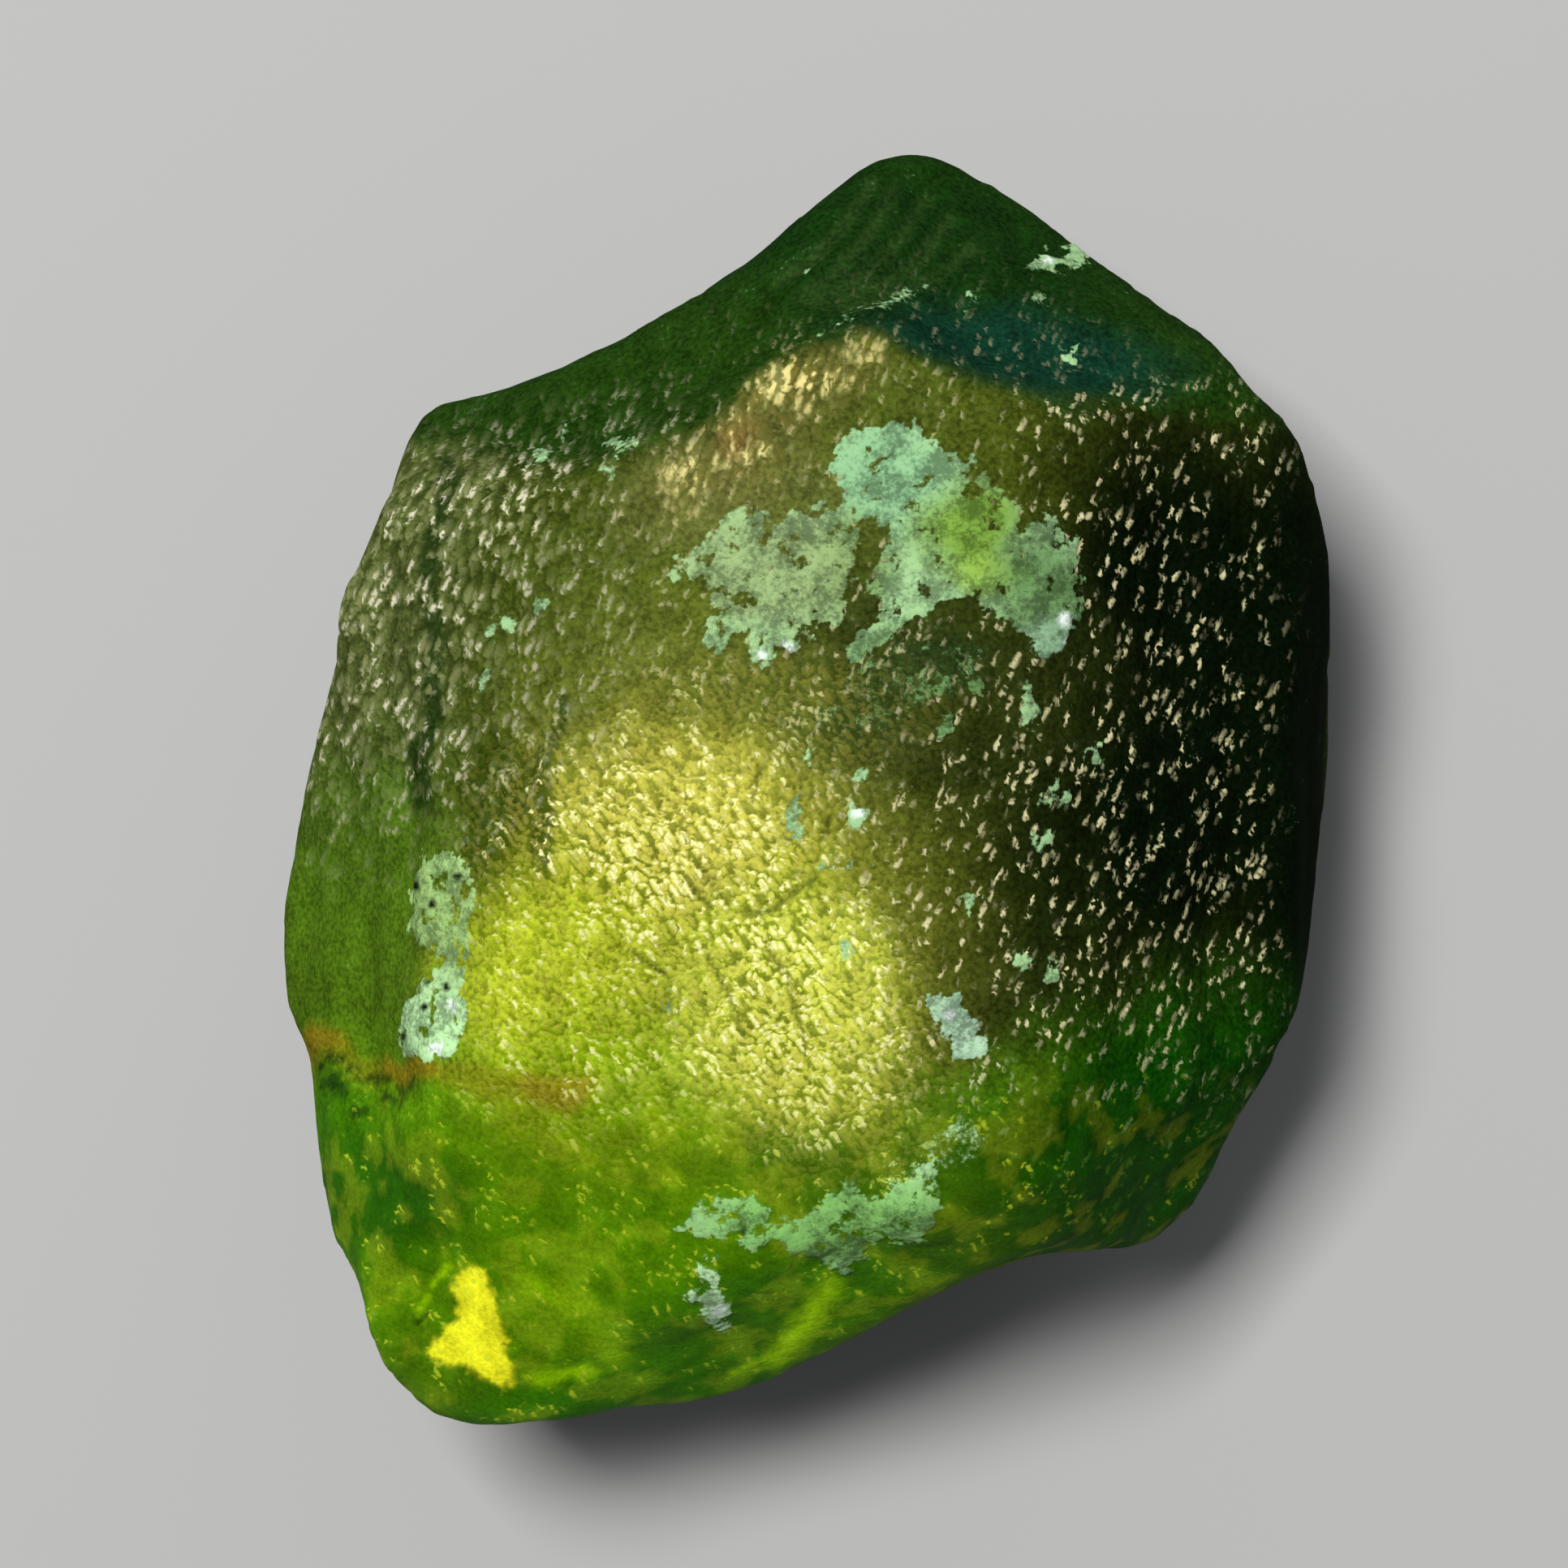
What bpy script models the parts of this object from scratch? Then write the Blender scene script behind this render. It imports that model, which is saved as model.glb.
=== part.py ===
"""A rough peridot crystal, lying on its flat back face.

+Y is the crystal's long axis, along which its faces are grooved. +Z points out of the front face,
towards a viewer who looks down on the stone, and +X is to that viewer's right. The origin is under
the middle of the stone, on the surface that it rests on.

Lengths below are in millimetres, and MM makes them metres. Angles are in degrees.
"""

import math
from random import Random

import bmesh
import bpy
from mathutils import Vector, noise

MM = 0.001
NAME = "peridot_crystal"

# Driving dimensions: the length along +Y, and the height at which the stone is widest.
LENGTH = 22.0
GIRDLE_HEIGHT = 6.2

# Outline of the stone seen from the front, clockwise from the tip.
OUTLINE = [
    (1.75, 11.00),
    (2.95, 10.66),
    (4.50, 9.62),
    (5.90, 8.60),
    (6.90, 8.00),
    (8.05, 6.69),
    (8.85, 5.00),
    (9.15, 3.20),
    (9.17, 0.60),
    (8.86, -1.90),
    (8.62, -3.40),
    (8.15, -4.66),
    (7.35, -6.15),
    (6.75, -7.50),
    (6.05, -8.05),
    (4.40, -7.98),
    (3.00, -8.37),
    (1.60, -9.07),
    (0.00, -9.98),
    (-1.50, -10.62),
    (-3.20, -10.74),
    (-5.00, -10.98),
    (-6.40, -10.96),
    (-7.20, -10.18),
    (-7.68, -9.20),
    (-8.36, -7.00),
    (-8.40, -5.60),
    (-8.56, -4.85),
    (-9.02, -3.60),
    (-9.12, -2.60),
    (-8.88, -0.80),
    (-8.05, 2.20),
    (-7.38, 4.40),
    (-7.00, 5.70),
    (-6.60, 6.60),
    (-5.40, 6.90),
    (-4.00, 7.36),
    (-2.20, 8.28),
    (-0.75, 9.15),
    (0.75, 10.45),
]
CURVE_STEPS = 6

# The blank that the faces are cut from: its wall leans in above and below the girdle.
BLANK_LEVELS = [-3.0, -1.0, 1.5, 4.0, GIRDLE_HEIGHT, 8.4, 10.9, 13.0, 15.0]
WALL_LEAN = 0.07

# The crystal's faces. Each has the way it faces, as an azimuth anticlockwise from +X and a tilt
# from +Z, and a point that it passes through.
FACES = {
    "front_high": (100, 9, (1.0, -0.5, 12.4)),
    "front_low": (240, 7, (1.0, -0.5, 12.4)),
    "front_right": (4, 21, (2.1, 0.0, 12.2)),
    "right": (0, 44, (4.6, 0.0, 11.2)),
    "right_margin": (-3, 71, (7.9, 0.0, 9.3)),
    "left_front": (178, 32, (-4.2, 0.0, 11.9)),
    "left": (182, 57, (-6.4, 0.0, 10.4)),
    "top_left": (122, 57, (0.2, 7.6, 11.3)),
    "top_right": (62, 51, (1.0, 7.7, 11.3)),
    "shoulder_right": (30, 63, (7.2, 6.3, 8.9)),
    "bottom": (281, 60, (0.0, -7.6, 11.8)),
    "low_left": (236, 33, (-5.4, -5.0, 11.2)),
    "low_right": (326, 62, (6.4, -5.4, 9.2)),
    "back_left": (180, 131, (-4.9, 0.0, 0.0)),
    "back_right": (3, 128, (5.2, 0.0, 0.0)),
    "back_top": (94, 126, (0.4, 6.2, 0.0)),
    "back_bottom": (262, 128, (-1.0, -6.9, 0.0)),
    "back_low_left": (215, 122, (-5.6, -5.4, 1.3)),
    "back_low_right": (316, 121, (5.0, -5.0, 1.2)),
    "back_top_left": (140, 122, (-4.6, 4.2, 1.3)),
    "back_top_right": (41, 119, (5.0, 5.0, 1.3)),
}

# Wear: the stone is cut into small squares, whose edges are then rounded.
GRAIN = 0.24
ROUNDING = 0.5
ROUNDING_PASSES = 9

# Relief of the whole surface. A pair whose name ends in FADE gives the share of the facing
# direction, from 0 to 1 or -1, at which a relief starts and is whole.
SWELL_SIZE = 4.6
SWELL_HEIGHT = 0.42
LUMP_SIZE = 1.8
LUMP_HEIGHT = 0.2
NOISE_SHIFT = Vector((3.7, 1.9, 5.2))
OUTLINE_RELIEF = 0.2
OUTLINE_FADE = (0.1, 0.5)
REST_RELIEF = 0.3
REST_FADE = (-0.97, -0.85)

# Growth grooves along +Y.
GROOVE_WIDTH = 0.85
GROOVE_LENGTH = 6.0
GROOVE_DEPTH = 0.26
GROOVE_ENDS_FADE = (0.25, 0.6)
GROOVE_SIDES_FADE = (0.2, 0.6)
GROOVE_STEEP_FADE = (0.0, 0.3)

# The ledge where the front breaks off to the top faces, as a line seen from the front.
RIM = [(-6.3, 6.1), (-5.2, 5.5), (-3.2, 5.6), (-1.9, 6.2), (-0.1, 7.6), (0.9, 8.0), (2.2, 7.5), (5.4, 6.6)]
RIM_WIDTH = 0.45
RIM_HEIGHT = 0.15
RIM_LEAST_FACING = 0.2

# The old break across the lower left corner, and the furrow down the left side.
BREAK_LINE = [(-9.8, -4.3), (-8.4, -4.7), (-7.3, -4.9), (-6.5, -5.3), (-5.2, -5.2), (-3.9, -5.5)]
BREAK_WIDTH = 0.3
BREAK_DEPTH = 0.17
FURROW = [(-6.1, 6.2), (-6.35, 3.5), (-6.2, 2.0), (-6.5, 0.4), (-6.3, -0.8)]
FURROW_WIDTH = 0.32
FURROW_DEPTH = 0.2
LINE_WANDER = 0.3

# Curved ribs of the broken surface at the tip, around the point where it was struck.
TIP_STRUCK = Vector((-3.6, 5.2, 6.0))
TIP_STARTS = 8.0
TIP_RISE = 1.2
TIP_FADE = (0.2, 0.5)
RIB_SPACING = 0.8
RIB_HEIGHT = 0.055

# Chips knocked off the edges between the faces.
CHIP_SEED = 11
CHIP_COUNT = 24
CHIP_RADIUS = (0.6, 1.5)
CHIP_DEPTH = 0.13
CHIP_FLOOR = 0.4
CHIP_CLEAR_OF_OUTLINE = 0.25
EDGE_SHARPNESS = 0.975

# How much of the lowest point is ground off to make the flat that the stone rests on.
REST_DEPTH = 0.25
MOST_TRIANGLES = 9400

COLOUR = (0.22, 0.32, 0.03, 1.0)
ROUGHNESS = 0.3
SEE_THROUGH = 0.6
IOR = 1.67


def clear_scene():
    for thing in list(bpy.data.objects):
        bpy.data.objects.remove(thing)


def collection_named(name):
    made = bpy.data.collections.new(name)
    bpy.context.scene.collection.children.link(made)
    return made


def direction(azimuth, tilt):
    """The unit vector at that azimuth from +X and that tilt from +Z."""
    around = math.radians(azimuth)
    down = math.radians(tilt)
    return Vector((math.cos(around) * math.sin(down), math.sin(around) * math.sin(down), math.cos(down)))


def evaluated_mesh(thing):
    bpy.context.view_layer.update()
    graph = bpy.context.evaluated_depsgraph_get()
    return bpy.data.meshes.new_from_object(thing.evaluated_get(graph))


def outline_ring(parts):
    """The outline as one closed loop of edges."""
    curve = bpy.data.curves.new("outline", "CURVE")
    curve.dimensions = "2D"
    curve.fill_mode = "NONE"
    curve.resolution_u = CURVE_STEPS
    spline = curve.splines.new("BEZIER")
    spline.bezier_points.add(len(OUTLINE) - 1)
    for point, (x, y) in zip(spline.bezier_points, OUTLINE):
        point.co = (x * MM, y * MM, 0)
        point.handle_left_type = "AUTO"
        point.handle_right_type = "AUTO"
    spline.use_cyclic_u = True
    drawn = bpy.data.objects.new("outline", curve)
    parts.objects.link(drawn)
    mesh = evaluated_mesh(drawn)
    bpy.data.objects.remove(drawn)
    return mesh


def blank(parts):
    """A block with the stone's outline: the ring is extruded level by level, and scaled at each."""
    form = bmesh.new()
    form.from_mesh(outline_ring(parts))
    ring = form.edges[:]
    size = 1.0
    height = 0.0
    for level in BLANK_LEVELS:
        next_size = 1.0 - WALL_LEAN * ((level - GIRDLE_HEIGHT) / GIRDLE_HEIGHT) ** 2
        if level != BLANK_LEVELS[0]:
            grown = bmesh.ops.extrude_edge_only(form, edges=ring)["geom"]
            ring = [item for item in grown if isinstance(item, bmesh.types.BMEdge)]
        corners = list({corner for edge in ring for corner in edge.verts})
        bmesh.ops.scale(form, verts=corners, vec=(next_size / size, next_size / size, 1))
        bmesh.ops.translate(form, verts=corners, vec=(0, 0, (level - height) * MM))
        size = next_size
        height = level
    bmesh.ops.holes_fill(form, edges=form.edges[:])
    bmesh.ops.recalc_face_normals(form, faces=form.faces[:])
    mesh = bpy.data.meshes.new(NAME)
    form.to_mesh(mesh)
    form.free()
    block = bpy.data.objects.new(NAME, mesh)
    parts.objects.link(block)
    return block


def slice_off(form, point, facing):
    """Removes what lies outside a plane, and closes the cut with a flat face."""
    cut = bmesh.ops.bisect_plane(
        form,
        geom=form.verts[:] + form.edges[:] + form.faces[:],
        plane_co=point,
        plane_no=facing,
        clear_outer=True,
    )
    rim = [item for item in cut["geom_cut"] if isinstance(item, bmesh.types.BMEdge)]
    bmesh.ops.triangle_fill(form, use_beauty=True, use_dissolve=False, normal=facing, edges=rim)


def cut_faces(stone):
    """Cuts the crystal's faces, and its flat back, from the blank."""
    form = bmesh.new()
    form.from_mesh(stone.data)
    for azimuth, tilt, point in FACES.values():
        slice_off(form, Vector(point) * MM, direction(azimuth, tilt))
    slice_off(form, Vector((0, 0, 0)), Vector((0, 0, -1)))
    bmesh.ops.recalc_face_normals(form, faces=form.faces[:])
    form.to_mesh(stone.data)
    form.free()


def wear(stone):
    """Rounds the edges between the faces, as a worn crystal's are."""
    grain = stone.modifiers.new("grain", "REMESH")
    grain.mode = "VOXEL"
    grain.voxel_size = GRAIN * MM
    soft = stone.modifiers.new("rounding", "SMOOTH")
    soft.factor = ROUNDING
    soft.iterations = ROUNDING_PASSES
    worn = evaluated_mesh(stone)
    stone.modifiers.clear()
    stone.data = worn


def ease(value, start, end):
    """Climbs smoothly from 0 at start to 1 at end."""
    share = min(max((value - start) / (end - start), 0.0), 1.0)
    return share * share * (3 - 2 * share)


def bump(distance, width):
    """1 at no distance, falling away smoothly over the width."""
    return math.exp(-((distance / width) ** 2))


def line_offset(place, line):
    """How far a place lies from a line seen from the front, with a minus on the line's right."""
    wander = LINE_WANDER * noise.noise(place)
    offsets = []
    for start, end in zip(line, line[1:]):
        run = Vector(end) - Vector(start)
        gone = place.to_2d() - Vector(start)
        along = min(max(gone.dot(run) / run.length_squared, 0.0), 1.0)
        away = (gone - run * along).length
        offsets.append(math.copysign(away, run.cross(gone)))
    return min(offsets, key=abs) + wander


def swell(place, facing):
    """Broad unevenness and lumps, less of both along the outline and under the stone."""
    broad = SWELL_HEIGHT * noise.noise(place / SWELL_SIZE + NOISE_SHIFT)
    lumps = LUMP_HEIGHT * noise.noise(place / LUMP_SIZE - NOISE_SHIFT)
    off_outline = OUTLINE_RELIEF + (1 - OUTLINE_RELIEF) * ease(abs(facing.z), *OUTLINE_FADE)
    off_rest = REST_RELIEF + (1 - REST_RELIEF) * ease(facing.z, *REST_FADE)
    return off_outline * off_rest * (broad + lumps)


def grooves(place, facing):
    """Growth grooves along the long axis, on the steep faces that lie along that axis."""
    stretched = Vector((place.x / GROOVE_WIDTH, place.y / GROOVE_LENGTH, place.z / GROOVE_WIDTH))
    along_axis = 1 - ease(abs(facing.y), *GROOVE_ENDS_FADE)
    steep = ease(abs(facing.x), *GROOVE_SIDES_FADE) * ease(abs(facing.z), *GROOVE_STEEP_FADE)
    return GROOVE_DEPTH * along_axis * steep * noise.noise(stretched)


def rim_ledge(place, facing):
    """A lip along the front's side of the rim, and a hollow along the other side."""
    if facing.z < RIM_LEAST_FACING:
        return 0.0
    offset = line_offset(place, RIM)
    return RIM_HEIGHT * (bump(offset + RIM_WIDTH, RIM_WIDTH) - bump(offset - RIM_WIDTH, RIM_WIDTH))


def creases(place, facing):
    """The break across the lower left corner, and the furrow down the left side."""
    if facing.z < 0.0:
        return 0.0
    broken = BREAK_DEPTH * bump(line_offset(place, BREAK_LINE), BREAK_WIDTH)
    furrowed = FURROW_DEPTH * bump(line_offset(place, FURROW), FURROW_WIDTH)
    return -(broken + furrowed)


def tip_ribs(place, facing):
    """Shallow curved ribs of the broken surface at the tip."""
    reach = (place - TIP_STRUCK).length
    at_tip = ease(place.y, TIP_STARTS, TIP_STARTS + TIP_RISE) * ease(facing.z, *TIP_FADE)
    return RIB_HEIGHT * at_tip * math.sin(math.tau * reach / RIB_SPACING)


def chip_places(form):
    """Where the chips lie, each with its radius: on sharp edges, and none close to another."""
    rng = Random(CHIP_SEED)
    sharp = []
    for corner in form.verts:
        around = [edge.other_vert(corner).normal for edge in corner.link_edges]
        bend = min(corner.normal.dot(facing) for facing in around)
        if bend < EDGE_SHARPNESS and abs(corner.normal.z) > CHIP_CLEAR_OF_OUTLINE:
            sharp.append(corner.co / MM)
    rng.shuffle(sharp)
    chips = []
    for place in sharp:
        radius = rng.uniform(*CHIP_RADIUS)
        if all((place - other).length > radius + far for other, far in chips):
            chips.append((place, radius))
        if len(chips) == CHIP_COUNT:
            break
    return chips


def chipping(place, chips):
    """How far the chips cut in: each is a hollow with a fairly sharp edge."""
    return sum(
        -CHIP_DEPTH * radius * ease((place - centre).length / radius, 1.0, CHIP_FLOOR)
        for centre, radius in chips
        if (place - centre).length < radius
    )


def shape_surface(stone):
    """Moves each point of the surface in or out by the stone's relief."""
    form = bmesh.new()
    form.from_mesh(stone.data)
    form.normal_update()
    chips = chip_places(form)
    moves = []
    for corner in form.verts:
        place = corner.co / MM
        facing = corner.normal
        relief = [swell, grooves, rim_ledge, creases, tip_ribs]
        out = sum(feature(place, facing) for feature in relief) + chipping(place, chips)
        moves.append(facing * out * MM)
    for corner, move in zip(form.verts, moves):
        corner.co += move
    form.to_mesh(stone.data)
    form.free()


def thin_out(stone):
    """Keeps only as many triangles as the relief needs."""
    thin = stone.modifiers.new("thin_out", "DECIMATE")
    thin.ratio = MOST_TRIANGLES / (2 * len(stone.data.polygons))
    thinned = evaluated_mesh(stone)
    stone.modifiers.clear()
    stone.data = thinned


def box(form):
    """The lowest and the highest corner of the box around a form."""
    spans = [[corner.co[axis] for corner in form.verts] for axis in range(3)]
    return Vector([min(span) for span in spans]), Vector([max(span) for span in spans])


def settle(stone):
    """Brings the stone to its length, grinds its resting flat, and centres it over the origin."""
    form = bmesh.new()
    form.from_mesh(stone.data)
    low, high = box(form)
    size = LENGTH * MM / (high.y - low.y)
    bmesh.ops.scale(form, verts=form.verts, vec=(size, size, size))
    low, high = box(form)
    slice_off(form, low + Vector((0, 0, REST_DEPTH * MM)), Vector((0, 0, -1)))
    bmesh.ops.triangulate(form, faces=form.faces[:])
    low, high = box(form)
    middle = (low + high) / 2
    bmesh.ops.translate(form, verts=form.verts, vec=(-middle.x, -middle.y, -low.z))
    bmesh.ops.recalc_face_normals(form, faces=form.faces[:])
    form.to_mesh(stone.data)
    form.free()


def peridot():
    material = bpy.data.materials.new("peridot")
    material.use_nodes = True
    surface = material.node_tree.nodes["Principled BSDF"]
    surface.inputs["Base Color"].default_value = COLOUR
    surface.inputs["Metallic"].default_value = 0.0
    surface.inputs["Roughness"].default_value = ROUGHNESS
    surface.inputs["Transmission Weight"].default_value = SEE_THROUGH
    surface.inputs["IOR"].default_value = IOR
    return material


def main():
    clear_scene()
    parts = collection_named(NAME)
    stone = blank(parts)
    cut_faces(stone)
    wear(stone)
    shape_surface(stone)
    thin_out(stone)
    settle(stone)
    stone.data.materials.clear()
    stone.data.materials.append(peridot())


main()
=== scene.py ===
# %% [markdown]
# # A rough peridot crystal
#
# Peridot is the clear green kind of olivine. This crystal is 22 mm long and has been tumbled and
# etched: its faces are frosted and full of tiny pits, a pale mint crust of serpentine clings to
# them, and light that gets in glows yellow-green where the stone is thin or clear. It is one
# natural piece, so the whole lesson works on one closed mesh and one see-through material.

# %% The frame
import math

import bpy
import numpy as np
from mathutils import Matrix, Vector, noise


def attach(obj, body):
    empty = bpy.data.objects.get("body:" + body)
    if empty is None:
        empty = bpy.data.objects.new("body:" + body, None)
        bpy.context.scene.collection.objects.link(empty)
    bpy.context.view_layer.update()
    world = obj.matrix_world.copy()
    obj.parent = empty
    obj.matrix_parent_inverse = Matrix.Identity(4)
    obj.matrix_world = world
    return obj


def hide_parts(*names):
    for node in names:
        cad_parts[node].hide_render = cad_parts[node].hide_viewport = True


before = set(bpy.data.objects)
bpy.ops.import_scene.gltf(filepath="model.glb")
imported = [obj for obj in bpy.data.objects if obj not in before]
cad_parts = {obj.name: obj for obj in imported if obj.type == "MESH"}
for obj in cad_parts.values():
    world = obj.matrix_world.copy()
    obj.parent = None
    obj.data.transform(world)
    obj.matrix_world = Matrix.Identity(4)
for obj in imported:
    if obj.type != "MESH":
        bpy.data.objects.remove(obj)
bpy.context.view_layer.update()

MM = 0.001
rough_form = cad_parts["peridot_crystal"]

# %% [markdown]
# ## The place of the camera
#
# The photograph looks straight at the crystal's front face, with its long axis upright. The stone
# lies on its flat back, so the same view is a camera that looks straight down. Features that were
# seen in the photograph are given as its pixels, and `seen` turns a point of the stone into the
# pixel where that camera shows it, so a crust patch lies where the photograph has it whatever the
# height of the face that carries it.

# %% The camera's numbers, and where it sees a point
PICTURE = 1932
PIXEL = 22.0 * MM / 1562
MIDDLE_PIXEL = (996, 971)
GIRDLE = 6.2 * MM
LENS = 150.0
SENSOR = 36.0
frame_side = PICTURE * PIXEL
camera_reach = frame_side * LENS / SENSOR
camera_axis = Vector(((PICTURE / 2 - MIDDLE_PIXEL[0]) * PIXEL, (MIDDLE_PIXEL[1] - PICTURE / 2) * PIXEL))


def seen(places):
    """The photograph's pixel, as columns x and y, where each of the places is seen from above."""
    grow = camera_reach / (camera_reach + GIRDLE - places[:, 2])
    x = (places[:, 0] - camera_axis.x) * grow / PIXEL + PICTURE / 2
    y = PICTURE / 2 - (places[:, 1] - camera_axis.y) * grow / PIXEL
    return x, y


print("camera", round(camera_reach / MM, 1), "mm above the girdle")

# %% [markdown]
# ## A finer skin for the stone
#
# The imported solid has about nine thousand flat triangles, enough for its shape and far too few for
# pits a tenth of a millimetre wide. A copy of it is merged, rebuilt as small even squares by a
# voxel Remesh, and smoothed. Only the faces that the pits and wrinkles lie on are then subdivided,
# so the mesh spends its corners where there is something to show.

# %% Helpers: work on one piece, apply a modifier, read and write its corners
def only(piece):
    """Selects one piece alone and makes it active."""
    for other in list(bpy.context.selected_objects):
        other.select_set(False)
    piece.select_set(True)
    bpy.context.view_layer.objects.active = piece


def apply_modifier(piece, kind, **settings):
    only(piece)
    modifier = piece.modifiers.new(kind.title(), kind)
    for name, value in settings.items():
        setattr(modifier, name, value)
    bpy.ops.object.modifier_apply(modifier=modifier.name)


def corners_of(piece, what="co"):
    """The places or the normals of the piece's corners, one row each."""
    values = np.empty(len(piece.data.vertices) * 3, np.float32)
    source = piece.data.vertices if what == "co" else piece.data.vertex_normals
    source.foreach_get("co" if what == "co" else "vector", values)
    return values.reshape(-1, 3).astype(float)


def move_corners(piece, places):
    piece.data.vertices.foreach_set("co", places.astype(np.float32).ravel())
    piece.data.update()


# %% The copy, merged and remeshed
SKIN_GRAIN = 0.29 * MM
MERGE_REACH = 0.001 * MM
crystal = bpy.data.objects.new("crystal", rough_form.data.copy())
bpy.context.scene.collection.objects.link(crystal)
only(crystal)
bpy.ops.object.mode_set(mode="EDIT")
bpy.ops.mesh.select_all(action="SELECT")
bpy.ops.mesh.remove_doubles(threshold=MERGE_REACH)
bpy.ops.mesh.normals_make_consistent(inside=False)
bpy.ops.object.mode_set(mode="OBJECT")
apply_modifier(crystal, "REMESH", mode="VOXEL", voxel_size=SKIN_GRAIN)
apply_modifier(crystal, "SMOOTH", factor=0.5, iterations=3)
print("remeshed skin", len(crystal.data.polygons), "squares")

# %% [markdown]
# ## Small squares where the relief is
#
# The front is cut finer once, and the places that carry pits, wrinkles or crust are cut once more.
# A little smoothing follows each cut and rounds what it leaves, as wear rounds the real stone.


# %% Finer squares where the front shows its relief
def face_middles(piece):
    """The middles and the normals of the piece's faces, one row each."""
    count = len(piece.data.polygons)
    middles = np.empty(count * 3, np.float32)
    normals = np.empty(count * 3, np.float32)
    piece.data.polygons.foreach_get("center", middles)
    piece.data.polygons.foreach_get("normal", normals)
    return middles.reshape(-1, 3).astype(float), normals.reshape(-1, 3).astype(float)


def subdivide_where(piece, chosen):
    """Cuts each chosen face in four."""
    only(piece)
    bpy.ops.object.mode_set(mode="EDIT")
    bpy.ops.mesh.select_mode(type="FACE")
    bpy.ops.mesh.select_all(action="DESELECT")
    bpy.ops.object.mode_set(mode="OBJECT")
    piece.data.polygons.foreach_set("select", chosen)
    bpy.ops.object.mode_set(mode="EDIT")
    bpy.ops.mesh.subdivide(number_cuts=1, smoothness=0)
    bpy.ops.object.mode_set(mode="OBJECT")


FRONT_LEAST_TILT = 0.12
FINE_BOXES = {
    "right etched face": (1150, 440, 1600, 1320),
    "left etched faces": (340, 500, 760, 960),
    "golden middle": (680, 860, 1180, 1420),
    "upper crusts": (760, 420, 1340, 930),
    "left crust": (480, 1035, 610, 1320),
    "lower crusts": (760, 1400, 1170, 1640),
    "bright window": (490, 1540, 640, 1710),
}
middles, normals = face_middles(crystal)
subdivide_where(crystal, normals[:, 2] > FRONT_LEAST_TILT)
apply_modifier(crystal, "SMOOTH", factor=0.5, iterations=4)
middles, normals = face_middles(crystal)
column, row = seen(middles)
fine = np.zeros(len(middles), bool)
for left, top, right, bottom in FINE_BOXES.values():
    fine |= (column > left) & (column < right) & (row > top) & (row < bottom)
subdivide_where(crystal, fine & (normals[:, 2] > FRONT_LEAST_TILT))
apply_modifier(crystal, "SMOOTH", factor=0.5, iterations=6)
triangles = sum(len(face.vertices) - 2 for face in crystal.data.polygons)
print("finer skin", triangles, "triangles")

# %% [markdown]
# ## Where things lie on the front
#
# The crust patches have shapes of their own, so each is an outline in the photograph's pixels. The
# textures and tones of the stone change more softly: each lies in an ellipse with a soft edge, or
# between soft edges of its own. Noise bends them all, so no edge looks drawn.


# %% Soft steps, noise, cells and distances in the picture
def ease(values, start, end):
    """0 up to start, 1 from end on, and a soft rise between. It falls if end is below start."""
    share = ((values - start) / (end - start)).clip(0, 1)
    return share * share * (3 - 2 * share)


def grain(places, size, shift=0.0):
    """Smooth noise, about -0.8 to 0.8, with lumps of the given size, at each of the places."""
    return np.array([noise.noise(Vector(place)) for place in places / size + shift])


def cells(places, size, shift=0.0):
    """Each place's distance to its nearest cell middle, and a share of 0 to 1 that the cell owns."""
    near = np.empty(len(places))
    lot = np.empty(len(places))
    for index, place in enumerate(places / size + shift):
        distances, middles = noise.voronoi(Vector(place))
        near[index] = distances[0]
        lot[index] = 0.5 + 0.5 * noise.cell(middles[0] * 97.0)
    return near, lot


def inside_distance(x, y, outline):
    """How deep inside a closed outline each place lies, in pixels. It is negative outside."""
    nearest = np.full(len(x), np.inf)
    inside = np.zeros(len(x), bool)
    for (ax, ay), (bx, by) in zip([outline[-1], *outline[:-1]], outline):
        side = np.array([bx - ax, by - ay + 1e-6])
        along = (((x - ax) * side[0] + (y - ay) * side[1]) / (side @ side)).clip(0, 1)
        nearest = np.minimum(nearest, np.hypot(x - ax - along * side[0], y - ay - along * side[1]))
        inside ^= ((ay > y) != (by > y)) & (x < side[0] * (y - ay) / side[1] + ax)
    return np.where(inside, nearest, -nearest)


def line_distance(x, y, line):
    """The distance to an open line of points, in pixels."""
    nearest = np.full(len(x), np.inf)
    for (ax, ay), (bx, by) in zip(line, line[1:]):
        side = np.array([bx - ax, by - ay], float)
        along = (((x - ax) * side[0] + (y - ay) * side[1]) / (side @ side)).clip(0, 1)
        nearest = np.minimum(nearest, np.hypot(x - ax - along * side[0], y - ay - along * side[1]))
    return nearest


def blob(x, y, middle, half, turn=0.0, soft=0.5):
    """A soft ellipse: 1 well inside, 0 well outside."""
    angle = math.radians(turn)
    across = (x - middle[0]) * math.cos(angle) + (y - middle[1]) * math.sin(angle)
    down = (y - middle[1]) * math.cos(angle) - (x - middle[0]) * math.sin(angle)
    return ease(np.hypot(across / half[0], down / half[1]), 1 + soft, 1 - soft)


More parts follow.
